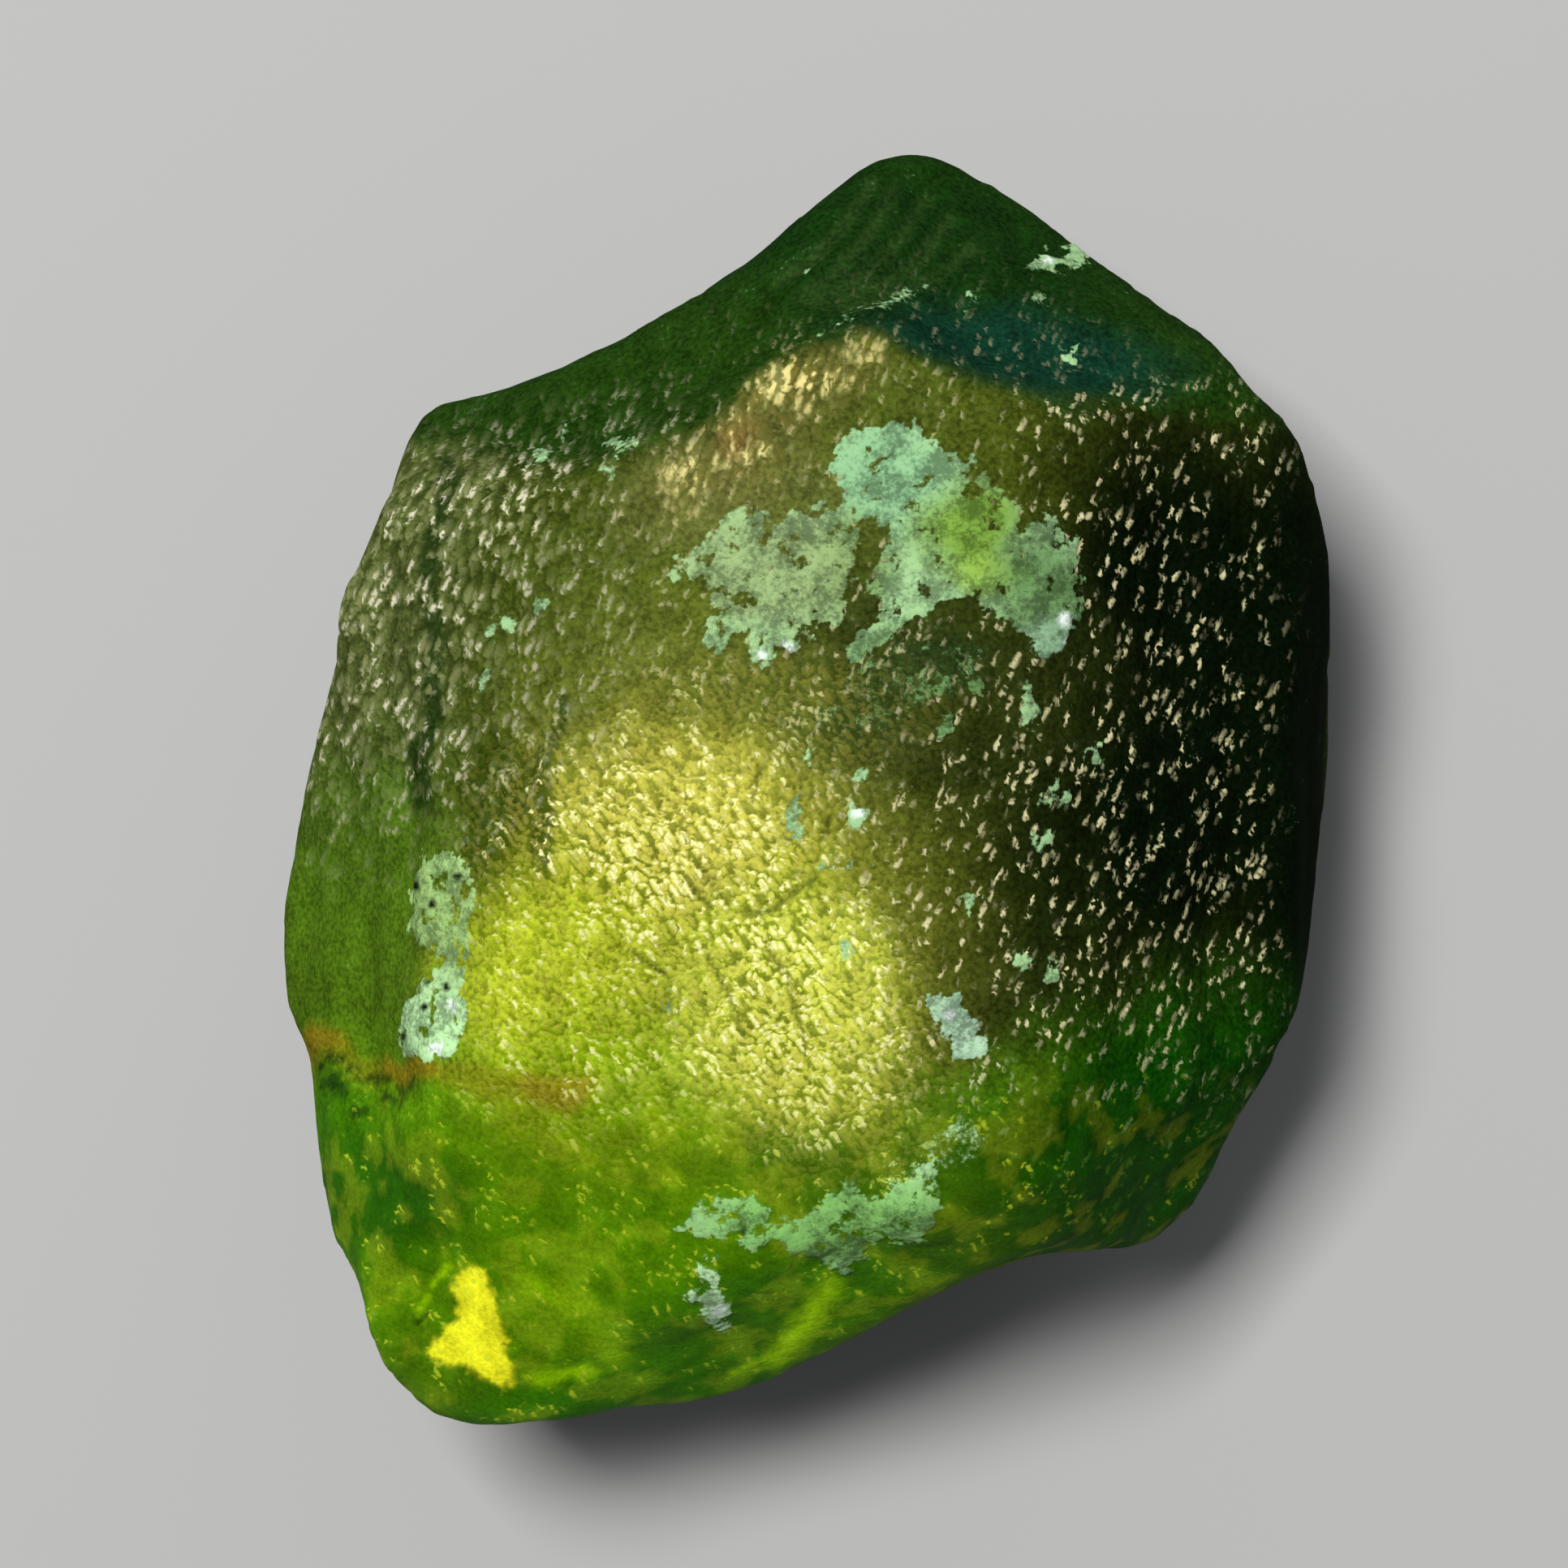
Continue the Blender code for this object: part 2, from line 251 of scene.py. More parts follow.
# %% Every corner in the picture, and the soft patches that carry a texture
WANDER = 22
SOFT_PATCHES = {
    "smooth band beside the gold": ((690, 860), (110, 170)),
    "smooth strip under the saddle": ((640, 520), (260, 50), -4),
    "saddle": ((740, 545), (190, 60), -8),
    "middle of the front": ((1130, 760), (340, 330)),
    "between the gold and the right face": ((1240, 1110), (190, 290)),
    "lower end of the right face": ((1370, 1370), (230, 120), -15),
    "upper gold": ((830, 1050), (190, 130), 10, 0.8),
    "lower gold": ((965, 1230), (135, 190), -24, 0.8),
    "lemon part beside the gold": ((740, 1210), (190, 200)),
    "strip above the gold": ((950, 880), (190, 80)),
    "stained rim": ((930, 505), (165, 72), -42, 0.6),
}
places = corners_of(crystal)
facing = corners_of(crystal, "normal")
in_mm = places / MM
x, y = seen(places)
front = ease(facing[:, 2], 0.02, 0.2)
bent_x = x + WANDER * grain(in_mm, 1.1, 3.0)
bent_y = y + WANDER * grain(in_mm, 1.1, 17.0)


def patch(name):
    """How far each corner is inside one of the soft patches."""
    return blob(bent_x, bent_y, *SOFT_PATCHES[name])


def within(edges):
    """How far each corner is inside soft edges, each an axis and where its rise starts and ends."""
    share = front.copy()
    for axis, start, end in edges:
        share *= ease(bent_x if axis == "x" else bent_y, start, end)
    return share


print("corners", len(places))

# %% [markdown]
# ## Relief, part one: etched pits
#
# Where melt or ground water has eaten at peridot, its side faces are covered with tiny pits, all
# stretched along the crystal's long axis. On the right face they stand apart like
# grains of rice; on the left faces they have grown together into streaks. Cells stretched along
# the axis place the pits, and each cell's own share sets how large its pit is. Stretched noise cut
# off at zero makes the streaks. Both are moved corners, so they catch the light as dents do.

# %% Pits of the right face and streaks of the left faces
RIGHT_FACE = [("x", 1120, 1330), ("x", 1600, 1540), ("y", 440, 520), ("y", 1400, 1200)]
LEFT_FACES = [("x", 830, 660), ("y", 490, 550), ("y", 1120, 820)]
RICE_CELL = np.array([0.165, 0.38, 0.165])
RICE_DEPTH = 0.045
RICE_LEAST = 0.24
RICE_SPREAD = 0.32
BARE_CELLS = 0.35
STREAK_SIZE = np.array([0.10, 0.34, 0.10])
STREAK_DEPTH = 0.035
right_share = within(RIGHT_FACE)
left_share = within(LEFT_FACES)
left_share *= 1 - 0.6 * patch("smooth band beside the gold")
left_share *= 1 - 0.7 * patch("smooth strip under the saddle")
saddle_share = patch("saddle") * front
middle_share = patch("middle of the front") * front
fleck_share = np.maximum.reduce([
    right_share,
    0.5 * middle_share,
    patch("between the gold and the right face") * front,
    0.6 * patch("lower end of the right face") * front,
])
near, lot = cells(in_mm, RICE_CELL)
rice_reach = (RICE_LEAST + RICE_SPREAD * lot) * (lot > BARE_CELLS)
rice_reach *= np.maximum(right_share, 0.75 * middle_share)
rice = ease(near, rice_reach + 0.08, rice_reach * 0.3) * ease(rice_reach, 0.2, 0.3)
streaks = grain(in_mm, STREAK_SIZE, 5.0) + 0.5 * grain(in_mm, STREAK_SIZE * 0.55, 9.0)
streaks += 0.35 * grain(in_mm, 0.8, 2.0)
streaks = ease(streaks, 0.0, 0.3) * np.maximum(left_share, 0.7 * saddle_share)
print("share of the corners in pits", round(float((rice > 0.5).mean()), 3))
print("share of the corners in streaks", round(float((streaks > 0.5).mean()), 3))

# %% [markdown]
# ## Relief, part two: the wrinkled middle
#
# The middle of the front is crinkled like foil, with furrows that run down to the right; the gold it shows
# is painted glow, laid into the colour further on. Noise folded at zero gives sharp ridges; a second,
# coarser noise bends the places first, so that the ridges worm about instead of following a grid. The
# furrows, and the fine growth lines of the tip, are few and each has its own course, so they are drawn
# point by point.

# %% Wrinkles, furrows and the fine lines of the tip
WRINKLE_SIZE = 0.22
RIM_FOLD_SIZE = np.array([0.16, 0.6, 0.3])
WORM_SIZE = 0.5
WORM_BEND = 0.16
WRINKLE_HEIGHT = 0.026
FURROW_DEPTH = 0.05
FURROWS = [
    [(848, 1076), (880, 1116)],
    [(868, 1172), (896, 1240), (920, 1284)],
    [(940, 1164), (972, 1204), (976, 1244), (988, 1300)],
    [(920, 1124), (968, 1100), (1000, 1084)],
    [(776, 1176), (812, 1200)],
    [(932, 955), (932, 985)],
    [(1019, 1000), (1019, 1030)],
    [(870, 1060), (905, 1110)],
    [(835, 1015), (850, 1045)],
]
STRIAE = [
    [(985, 365), (1030, 335), (1070, 290), (1100, 235)],
    [(1000, 372), (1055, 345), (1100, 305), (1140, 245)],
    [(1020, 376), (1080, 352), (1130, 322), (1170, 270)],
    [(1045, 378), (1100, 362), (1155, 340), (1200, 305)],
    [(960, 345), (1005, 315), (1045, 270), (1075, 225)],
]
STRIA_DEPTH = 0.05
wrinkle_share = np.maximum(patch("upper gold"), patch("lower gold")) * front
wrinkle_share *= 0.8 + 0.2 * ease(grain(in_mm, 1.0, 37.0), -0.35, 0.25)
rim_share = patch("stained rim") * front
rim_share *= 0.45 + 0.55 * ease(grain(in_mm, 0.8, 77.0), -0.3, 0.3)
sprinkle_share = 0.4 * patch("lemon part beside the gold") + 0.25 * patch("strip above the gold")
bends = [grain(in_mm, WORM_SIZE, shift) for shift in (31.0, 47.0, 59.0)]
worms = in_mm + WORM_BEND * np.column_stack(bends)
folds = 1 - 2.2 * np.abs(grain(worms, WRINKLE_SIZE))
folds += 0.5 * (1 - 2.2 * np.abs(grain(worms, WRINKLE_SIZE * 0.5, 7.0)))
upright = 1 - 2.2 * np.abs(grain(worms, RIM_FOLD_SIZE, 3.0))
furrows = np.zeros(len(places))
for line in FURROWS:
    furrows = np.maximum(furrows, ease(line_distance(bent_x, bent_y, line), 6, 1.5))
striae = np.zeros(len(places))
for line in STRIAE:
    striae = np.maximum(striae, ease(line_distance(x, y, line), 14, 2))
print("folds from", round(float(folds.min()), 2), "to", round(float(folds.max()), 2))

# %% [markdown]
# ## Relief, part three: the crust
#
# Pale mint serpentine sits on the stone in ragged patches, a few hundredths of a millimetre thick.
# Inside its outline a patch stands up from the face; fine noise frays the edge, and a coarser one
# eats holes through which the stone shows. The number before each outline is how dense the patch is.

# %% The patches, their spots, and how much crust each corner has
CRUSTS = {
    "upper lobe": (1.0, [
        (1043, 535), (1096, 522), (1127, 513), (1141, 540), (1159, 553), (1198, 566), (1221, 584),
        (1234, 602), (1252, 628), (1256, 655), (1291, 633), (1296, 637), (1305, 655), (1327, 664),
        (1329, 730), (1325, 765), (1309, 796), (1290, 812), (1274, 819), (1276, 790), (1250, 772),
        (1225, 757), (1185, 735), (1159, 742), (1141, 750), (1110, 768), (1097, 790), (1070, 812),
        (1048, 819), (1048, 796), (1061, 774), (1088, 752), (1070, 730), (1074, 708), (1101, 668),
        (1092, 650), (1070, 641), (1061, 633), (1035, 610), (1023, 588), (1026, 566),
    ]),
    "left lobe": (0.9, [
        (915, 624), (940, 626), (950, 645), (968, 648), (981, 628), (1008, 619), (1043, 628), (1057, 650),
        (1057, 672), (1048, 703), (1043, 748), (1026, 774), (1008, 757), (999, 774), (997, 792), (981, 810),
        (959, 801), (950, 819), (937, 823), (928, 810), (933, 788), (906, 770), (902, 783), (884, 805),
        (871, 801), (864, 783), (875, 765), (893, 757), (875, 739), (866, 708), (840, 712), (826, 708),
        (835, 686), (853, 677), (875, 659), (893, 641),
    ]),
    "haze under the lobes": (0.30, [
        (1048, 815), (1100, 800), (1160, 790), (1215, 800), (1180, 850), (1110, 892), (1040, 905),
        (1008, 890),
    ]),
    "left patch": (1.0, [
        (520, 1062), (545, 1046), (570, 1055), (584, 1085), (583, 1130), (577, 1170), (571, 1205),
        (572, 1240), (563, 1300), (530, 1305), (497, 1298), (493, 1262), (508, 1225), (530, 1205),
        (545, 1180), (520, 1165), (506, 1140), (512, 1100),
    ]),
    "chip": (1.0, [
        (1144, 1234), (1165, 1228), (1180, 1228), (1186, 1244), (1200, 1268), (1222, 1294), (1206, 1300),
        (1182, 1306), (1168, 1290), (1158, 1262),
    ]),
    "bottom band": (0.8, [
        (838, 1510), (868, 1480), (898, 1474), (934, 1480), (958, 1498), (1000, 1498), (1018, 1468),
        (1048, 1459), (1072, 1474), (1102, 1462), (1126, 1444), (1144, 1420), (1156, 1450),
        (1153, 1480), (1144, 1522), (1120, 1534), (1090, 1522), (1072, 1528), (1060, 1552),
        (1042, 1570), (1018, 1567), (1006, 1546), (982, 1546), (952, 1534), (922, 1540), (898, 1525),
        (868, 1522),
    ]),
    "bottom drop": (0.85, [
        (870, 1552), (882, 1550), (888, 1572), (901, 1606), (898, 1633), (880, 1636), (868, 1618),
        (849, 1596), (859, 1582),
    ]),
    "faint patch": (0.35, [
        (1148, 1400), (1175, 1378), (1210, 1388), (1222, 1415), (1190, 1438), (1150, 1436),
    ]),
    "tip patch": (0.9, [
        (1269, 332), (1279, 313), (1294, 319), (1307, 321), (1324, 306), (1339, 315), (1329, 328),
        (1303, 331), (1286, 336),
    ]),
    "saddle line": (0.45, [(735, 590), (760, 560), (775, 540), (785, 545), (770, 572), (748, 596)]),
    "rim line": (0.4, [
        (955, 440), (985, 418), (1020, 398), (1065, 378), (1135, 348), (1140, 354), (1070, 392),
        (1010, 420),
    ]),
}
CRUST_SPOTS = [
    (1165, 840, 9, 12), (1207, 847, 10, 7), (1269, 872, 9, 20), (1163, 891, 10, 12), (996, 928, 7, 12),
    (1064, 950, 7, 12), (1058, 1002, 8, 10), (980, 1004, 8, 20), (1034, 1064, 20, 8), (1297, 980, 12, 12),
    (1282, 1036, 9, 12), (1350, 931, 8, 10), (1193, 1109, 8, 12), (1294, 1198, 8, 14), (1260, 1186, 8, 8),
    (619, 773, 13, 12), (667, 746, 8, 7), (596, 837, 7, 9), (756, 547, 10, 6), (667, 562, 9, 7),
    (697, 532, 7, 8), (994, 334, 4, 5), (1194, 369, 4, 8), (1279, 366, 5, 6), (1318, 437, 9, 8),
    (1040, 1168, 10, 10), (824, 1236, 4, 22),
]
CRUST_HEIGHT = 0.045
HOLE_SIZE = 0.28
FRAY = 12.0
EDGE = 5.0
SPOT_STRENGTH = 0.75
fray = FRAY * (grain(in_mm, 0.22, 71.0) + 0.7 * grain(in_mm, 0.1, 83.0))
holes = grain(in_mm, HOLE_SIZE, 61.0) + 0.6 * grain(in_mm, 0.5 * HOLE_SIZE, 67.0)
whole = ease(holes, -0.42, -0.18)
whole = np.maximum(whole, ease(inside_distance(x, y, CRUSTS["chip"][1]), -12, 0))
crust = np.zeros(len(places))
for strength, outline in CRUSTS.values():
    crust = np.maximum(crust, strength * ease(inside_distance(x, y, outline) + fray, -EDGE, EDGE))
for spot_x, spot_y, half_x, half_y in CRUST_SPOTS:
    away = np.hypot((x - spot_x) / half_x, (y - spot_y) / half_y)
    crust = np.maximum(crust, SPOT_STRENGTH * ease(away + fray / 9, 1.5, 0.7))
crust *= front * (0.35 + 0.65 * whole)
print("share of the corners with crust", round(float((crust > 0.4).mean()), 3))

# %% [markdown]
# ## Relief, part four: everything moved at once
#
# Each corner moves along its own normal by the sum of all textures, in millimetres. Etching and
# wrinkles stop where crust covers the stone. The sides and the back can't be seen in the photograph:
# they get low swells and shallow dents, as the worn faces of such a stone have.

# %% Move the corners
WEAR_HEIGHT = 0.012
SWELL_HEIGHT = 0.05
DENT_DEPTH = 0.06
bare = 1 - ease(crust, 0.2, 0.7)
ridges = (folds - 0.6) * wrinkle_share + (upright - 0.4) * rim_share
wear = WEAR_HEIGHT * grain(in_mm, 0.35, 11.0)
height = (WRINKLE_HEIGHT * ridges + wear - RICE_DEPTH * rice - STREAK_DEPTH * streaks) * bare
height -= (FURROW_DEPTH * furrows + STRIA_DEPTH * striae) * front
height += crust * (CRUST_HEIGHT + 0.03 * grain(in_mm, 0.16, 91.0) + 0.02 * grain(in_mm, 0.09, 95.0))
swells = SWELL_HEIGHT * grain(in_mm, 1.1, 13.0) - DENT_DEPTH * ease(grain(in_mm, 0.8, 19.0), 0.15, 0.45)
height += ease(facing[:, 2], 0.35, 0.0) * swells
move_corners(crystal, places + facing * height[:, None] * MM)
print("relief from", round(float(height.min()), 3), "to", round(float(height.max()), 3), "mm")

# %% [markdown]
# ## The tone of the stone
#
# Peridot is one green, but this stone shows many, and some of them are light painted into the colour. The
# right face turns from the light, and its near black is painted shade. The left faces are frosted
# grey-olive, the crinkled middle glows gold in painted light, and the lower part is clear yellow-green,
# brightened by painted glow. Iron stains the rim and the old break. Colours are laid over each other corner
# by corner, as glazes are, each through a soft mask of its own.


# %% Colours as the screen shows them, and a way to lay one over another
def rgb(red, green, blue):
    """A colour as the screen shows it, 0 to 255, as the linear colour that shaders work in."""
    def linear(value):
        share = value / 255
        return share / 12.92 if share <= 0.04045 else ((share + 0.055) / 1.055) ** 2.4
    return (linear(red), linear(green), linear(blue), 1.0)


def laid(under, share, colour):
    """The colours under, with one more mixed over them by each corner's share."""
    return under + np.reshape(share, (-1, 1)) * (np.array(rgb(*colour)) - under)


SHADED_BLACK_GREEN = (8, 20, 5)
SHADE_GREEN = (20, 54, 14)
BLUE_GREEN = (16, 60, 44)
MOSS = (36, 68, 14)
DARK_OLIVE = (50, 60, 18)
OLIVE = (84, 98, 26)
GREY_OLIVE = (94, 107, 52)
PALE_GOLD = (220, 230, 80)
LEMON = (194, 212, 40)
LEAF = (84, 128, 12)
LIME = (114, 172, 6)
BOTTLE = (46, 116, 4)
RUST = (164, 120, 26)
BACK_GREEN = (84, 116, 30)

# %% Zones of the stone: name, middle, half sizes, turn in degrees, colour, strength
ZONES = [
    ("left faces", (510, 770), (240, 310), 10, GREY_OLIVE, 0.9),
    ("second left face", (650, 770), (95, 250), 12, (74, 90, 20), 0.8),
    ("ridge", (790, 740), (130, 200), 0, OLIVE, 0.9),
    ("below the rim", (930, 620), (160, 70), 0, (114, 122, 56), 0.7),
    ("beside the gold", (1225, 1080), (150, 270), 0, (32, 44, 12), 0.85),
    # painted shade: the right face and its edge turn from the light, and their near black is laid into the
    # colour
    ("right face", (1450, 860), (200, 450), 0, SHADED_BLACK_GREEN, 1.0),
    ("right edge", (1600, 900), (80, 480), 0, SHADED_BLACK_GREEN, 1.0),
    ("left middle", (470, 1170), (190, 230), 0, (84, 122, 20), 0.9),
    # the stone's own yellow-green, brightened by painted glow of light that comes through the clear lower
    # part
    ("clear lower part", (700, 1520), (560, 210), 0, LIME, 1.0),
    ("clear lower right", (1230, 1440), (280, 130), -12, LEAF, 1.0),
    ("lower right edge", (1440, 1400), (230, 170), -30, (14, 74, 4), 1.0),
    ("olive round the gold", (890, 1090), (260, 300), -20, (132, 140, 42), 0.75),
    # painted shade: the darker olive under the upper crust
    ("under the upper crust", (1130, 840), (220, 150), 0, DARK_OLIVE, 0.9),
    ("top of the golden middle", (850, 885), (170, 110), 0, (98, 108, 36), 0.8),
    # painted glow: the gold, lemon and lime zones from here to the brightest gold stand for light that
    # comes out through the crinkled middle
    ("gold of the upper middle", (835, 1050), (165, 140), 10, (186, 186, 58), 1.0),
    ("gold of the lower middle", (950, 1210), (130, 170), -28, (186, 202, 56), 1.0),
    ("pale heart of the gold", (840, 1020), (110, 90), 0, (216, 212, 84), 0.9),
    ("lemon patch", (680, 1210), (120, 160), 0, LEMON, 0.9),
    ("lime below the gold", (760, 1360), (170, 100), 0, (146, 184, 8), 0.85),
    ("brightest gold", (975, 1250), (120, 120), 0, PALE_GOLD, 0.9),
    ("dark notch beside the gold", (610, 1000), (60, 110), 0, (46, 68, 6), 0.9),
    ("green hollow", (480, 1480), (95, 80), 0, (34, 100, 2), 0.9),
    ("green hollow above it", (420, 1400), (60, 80), 0, BOTTLE, 0.6),
    ("shade under the bottom crust", (960, 1600), (180, 50), -12, (74, 142, 6), 0.9),
    # painted light: the bottom edge is tinted brighter where the lamp's light falls off
    ("bottom edge", (800, 1720), (240, 50), -8, (66, 146, 4), 0.85),
    ("stained rim", (925, 510), (170, 75), -42, (104, 106, 50), 0.8),
    ("rusty hollow in the rim", (912, 538), (28, 26), 0, (150, 98, 52), 0.45),
]
RIM = [
    (340, 560), (550, 540), (630, 580), (770, 570), (860, 530), (920, 485), (990, 430), (1060, 405),
    (1150, 440), (1300, 490), (1380, 500), (1640, 520),
]
RIM_SOFTNESS = 26
tint = np.tile(rgb(*OLIVE), (len(places), 1))
for name, middle, half, turn, colour, strength in ZONES:
    tint = laid(tint, strength * blob(bent_x, bent_y, middle, half, turn), colour)
above_rim = ease(bent_y - np.interp(bent_x, *np.array(RIM).T), RIM_SOFTNESS, -RIM_SOFTNESS)
tint = laid(tint, above_rim, MOSS)
# painted shade on the tip and the edge under it
tip_shade = blob(bent_x, bent_y, (1130, 320), (330, 130), 20)
tint = laid(tint, 0.9 * above_rim * tip_shade, SHADE_GREEN)
# painted reflection: the bluish tone that the light lays on the top of the tip
blue_tip_reflection = blob(bent_x, bent_y, (1240, 440), (190, 55), 6)
tint = laid(tint, 0.9 * above_rim * blue_tip_reflection, BLUE_GREEN)
print(len(ZONES), "zones laid over the first olive")

# %% [markdown]
# ## Marks inside and on the stone
#
# The lower part is clear, and clouds of tiny inclusions hang in it. Rust runs along an old break at
# the left. Below it one facet sends the light straight out and shines like a yellow window, and
# inner reflections show as streaks near the lower edge. In the photograph the light comes from
# behind the stone; on a pale floor a clear stone of this size only looks dark, so here the glow is
# part of the colour. The back isn't in the photograph: it is plain frosted olive with dark clouds.

# %% Clouds in the clear part, the stained break, and light that shines through
HAZE_GREEN = (40, 66, 30)
STRIA_GREEN = (90, 116, 60)
LIGHT_LIME = (190, 250, 8)
WINDOW_YELLOW = (255, 255, 40)
FROST_OLIVE = (126, 136, 74)
DEEP_GREEN = (44, 78, 18)
BREAK = [(385, 1295), (440, 1312), (500, 1322), (600, 1340), (720, 1345)]
STAINS = [[(377, 1288), (413, 1290)], [(482, 1314), (523, 1328)], [(658, 1338), (712, 1346)]]
# painted shade: dark lines where creases lie in shadow
SHADOW_LINES = [
    ([(545, 560), (538, 700), (528, 820), (522, 1000)], 18),
    ([(397, 1322), (430, 1314), (478, 1334), (503, 1338)], 7),
    ([(515, 1640), (531, 1623)], 6),
    ([(402, 1344), (422, 1342)], 13),
    ([(440, 1362), (452, 1364)], 12),
    ([(480, 1356), (494, 1358)], 10),
    ([(690, 860), (672, 960), (668, 1060)], 16),
]
WINDOW = [
    (580, 1558), (597, 1566), (605, 1591), (617, 1632), (633, 1685), (629, 1703), (609, 1701),
    (576, 1685), (540, 1680), (531, 1668), (540, 1648), (560, 1628), (564, 1607), (552, 1587),
    (568, 1571),
]
LIGHT_STREAKS = [
    ([(649, 1579), (706, 1607), (739, 1648), (759, 1672)], 34, 0.45),
    ([(658, 1701), (690, 1694), (728, 1689)], 15, 0.8),
    ([(960, 1670), (988, 1636), (1022, 1590)], 30, 1.0),
    ([(905, 1690), (960, 1668)], 8, 0.6),
    ([(515, 1618), (528, 1590), (550, 1562)], 9, 0.7),
]
clear_share = ease(bent_y, 1270, 1450)
cloud = ease(grain(in_mm, 0.75, 23.0) + 0.5 * grain(in_mm, 0.3, 29.0), -0.25, 0.35)
tint = laid(tint, 0.34 * clear_share * (1 - cloud), BOTTLE)
tint = laid(tint, 0.22 * clear_share * ease(cloud, 0.6, 1.0), LEMON)
tint = laid(tint, 0.14 * striae, STRIA_GREEN)
# painted shade in the furrows
tint = laid(tint, 0.7 * furrows * front, DARK_OLIVE)
haze_outline = CRUSTS["haze under the lobes"][1]
haze = ease(inside_distance(bent_x, bent_y, haze_outline) + 2 * fray, -14, 14)
tint = laid(tint, 0.6 * haze, HAZE_GREEN)
tint = laid(tint, 0.3 * ease(line_distance(bent_x, bent_y, BREAK), 26, 6), RUST)
for line in STAINS:
    tint = laid(tint, 0.45 * ease(line_distance(bent_x, bent_y, line), 22, 4), RUST)
# painted shade along each of these lines
for line, reach in SHADOW_LINES:
    shade = ease(line_distance(bent_x, bent_y, line) + 0.4 * fray, reach, 0.3 * reach)
    tint = laid(tint, 0.75 * shade, SHADE_GREEN)
for line, reach, strength in LIGHT_STREAKS:
    light = ease(line_distance(x, y, line) + 0.5 * fray, reach, -0.2 * reach)
    tint = laid(tint, strength * light, LIGHT_LIME)
window_share = ease(inside_distance(x, y, WINDOW) + 0.6 * fray, -5, 4)
tint = laid(tint, window_share, WINDOW_YELLOW)
below_girdle = GIRDLE / MM - in_mm[:, 2] - 0.9 * grain(in_mm, 1.6, 51.0)
back_share = ease(below_girdle, 0.2, 2.8)
frosted = ease(grain(in_mm, 1.3, 57.0) + 0.5 * grain(in_mm, 0.5, 63.0), 0.0, 0.4)
tint = laid(tint, back_share, BACK_GREEN)
tint = laid(tint, 0.5 * back_share * frosted, FROST_OLIVE)
tint = laid(tint, 0.45 * back_share * (1 - cloud), DEEP_GREEN)
clear_share = np.maximum(clear_share, 0.5 * back_share * (1 - frosted))
print("share of the corners that are clear", round(float((clear_share > 0.5).mean()), 3))

# %% [markdown]
# ## The tones of the crust
#
# The crust isn't one mint: thick parts are bluish white, thin ones let the stone through and look
# mossy, and here and there a black grain of ore or a white spot is stuck in it. The tones have a
# layer of corner colours of their own, so that the material can fray the crust's edge later.

# %% The tones of the crust, its white spots and black specks
MINT = (142, 178, 126)
SPOT_WHITE = (222, 232, 226)
SPECK_BLACK = (14, 24, 10)
CRUST_ZONES = [
    ("blue-green head", (1085, 590), (75, 75), 0, (124, 168, 122), 0.9),
    ("mossy neck", (1065, 700), (50, 60), 0, (96, 128, 70), 0.8),
    ("yellow-green heart", (1200, 655), (56, 66), 20, (104, 140, 40), 0.9),
    ("golden foot of the heart", (1215, 712), (50, 20), 0, (132, 168, 64), 0.7),
    ("shaded right arm", (1290, 735), (60, 70), 0, (80, 114, 62), 0.8),
    ("pale end of the right arm", (1295, 800), (40, 30), 0, (124, 156, 124), 0.8),
    ("grey left lobe", (950, 705), (120, 90), 0, (132, 152, 98), 0.8),
    ("pale feet of the left lobe", (935, 795), (80, 30), 0, (140, 174, 120), 0.9),
    ("thin haze", (1120, 850), (120, 70), 0, (78, 112, 58), 0.9),
    ("left patch", (545, 1120), (60, 90), 0, (142, 174, 98), 0.8),
    ("pale foot of the left patch", (535, 1265), (50, 60), 0, (172, 212, 152), 0.9),
    ("chip", (1182, 1265), (60, 50), 0, (158, 190, 158), 0.9),
    ("drop", (876, 1600), (40, 50), 0, (176, 214, 160), 0.9),
    ("bottom band", (1010, 1500), (170, 60), 0, (108, 162, 76), 0.8),
]
WHITE_SPOTS = [
    (970, 800, 12), (938, 806, 9), (1310, 765, 11), (1235, 785, 10), (1315, 790, 9), (1034, 1064, 12),
    (1058, 1002, 8), (540, 1292, 12), (560, 1240, 9), (885, 1612, 10), (1169, 1250, 10), (1290, 322, 7),
]
BLACK_SPECKS = [
    (515, 1092), (535, 1114), (552, 1216), (525, 1241), (499, 1277), (529, 1208), (915, 1519),
    (1010, 1555), (566, 1080),
]
SPECK_RADIUS = 7
crust_tint = np.tile(rgb(*MINT), (len(places), 1))
for name, middle, half, turn, colour, strength in CRUST_ZONES:
    crust_tint = laid(crust_tint, strength * blob(bent_x, bent_y, middle, half, turn), colour)
for spot_x, spot_y, reach in WHITE_SPOTS:
    spot = ease(np.hypot(x - spot_x, y - spot_y) + 0.4 * fray, reach, 0.4 * reach)
    crust_tint = laid(crust_tint, 0.8 * spot, SPOT_WHITE)
for speck_x, speck_y in BLACK_SPECKS:
    speck = ease(np.hypot(x - speck_x, y - speck_y), SPECK_RADIUS, 0.4 * SPECK_RADIUS)
    crust_tint = laid(crust_tint, speck, SPECK_BLACK)
print(len(CRUST_ZONES), "crust tones,", len(WHITE_SPOTS), "white spots,", len(BLACK_SPECKS), "specks")

# %% [markdown]
# ## What the corners hand to the material
#
# The skin's corners are about a tenth of a millimetre apart. All that is larger than that is worked
# out once, here, and stored on the corners; only grains finer than that are left to the material.
# Where the stone turns away from the viewer its frosted skin hides more of the clear body.


# %% Layers of numbers and colours on the corners
def keep(name, values):
    """Stores one number, or one colour, for each corner where the material can read it."""
    kind, field = ("FLOAT", "value") if values.ndim == 1 else ("FLOAT_COLOR", "color")
    layer = crystal.data.attributes.new(name, kind, "POINT")
    layer.data.foreach_set(field, values.astype(np.float32).ravel())


